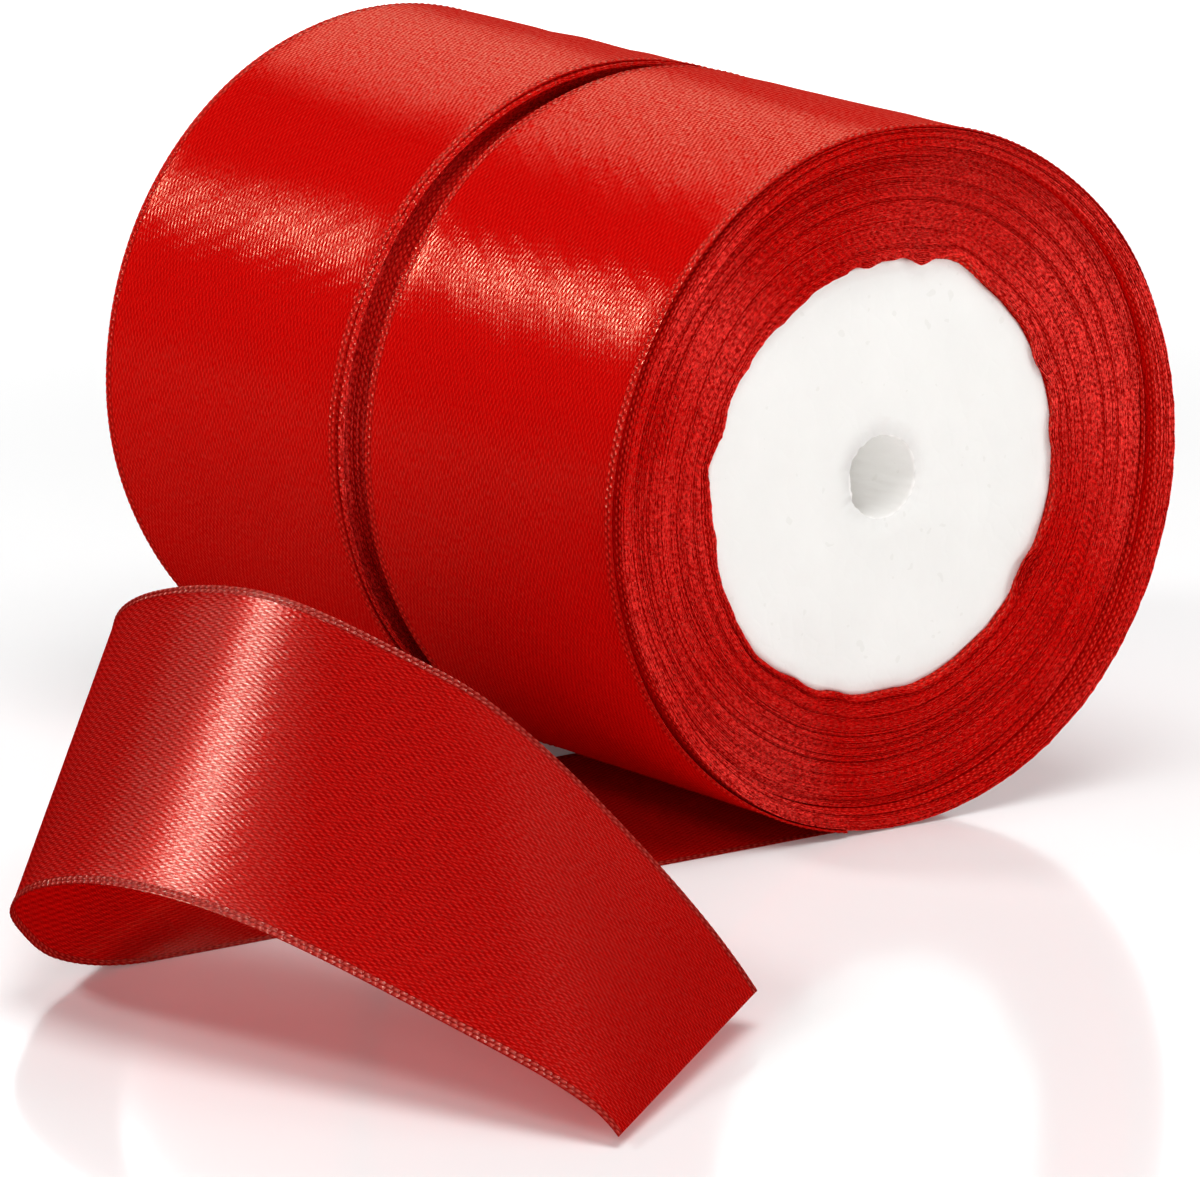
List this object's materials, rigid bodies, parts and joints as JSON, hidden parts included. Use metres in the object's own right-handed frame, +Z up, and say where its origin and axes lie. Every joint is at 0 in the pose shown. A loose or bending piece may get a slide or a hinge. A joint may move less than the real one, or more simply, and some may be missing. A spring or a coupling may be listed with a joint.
{
  "type": "ribbon spool",
  "caption": "Twin rolls of wide red satin ribbon on white foam cores, lying end to end, with the front roll's loose end laid out in an open loop.",
  "frame": {"origin": "centre of the front roll's spindle hole, half way along it", "axes": "+Y along the spindle hole from the front roll to the rear roll, the loose end leaves towards -X, +Z up, the table at z = -0.043"},
  "size_m": [0.1743, 0.1958, 0.086],
  "materials": {
    "satin": "satin weave, glossy along the ribbon",
    "foam": "white bead foam, matt",
    "tape": "clear adhesive tape"
  },
  "bodies": {
    "loose_ribbon": {"front_loose_turn": "satin", "ribbon_tail": "satin"},
    "front_roll": {"front_core": "foam", "front_core_tape": "tape", "front_inner_turns": "satin", "front_middle_turns": "satin", "front_outer_turns": "satin"},
    "rear_roll": {"rear_core": "foam", "rear_core_tape": "tape", "rear_inner_turns": "satin", "rear_middle_turns": "satin", "rear_outer_turns": "satin", "rear_end_tape": "tape"}
  },
  "joints": [
    {"name": "front_roll_spin", "type": "hinge", "parent": "loose_ribbon", "child": "front_roll", "pos_m": [0, 0, 0], "axis": [0, 1, 0], "continuous": true},
    {"name": "rear_roll_spin", "type": "hinge", "parent": "loose_ribbon", "child": "rear_roll", "pos_m": [0, 0.0518, 0], "axis": [0, 1, 0], "continuous": true}
  ]
}
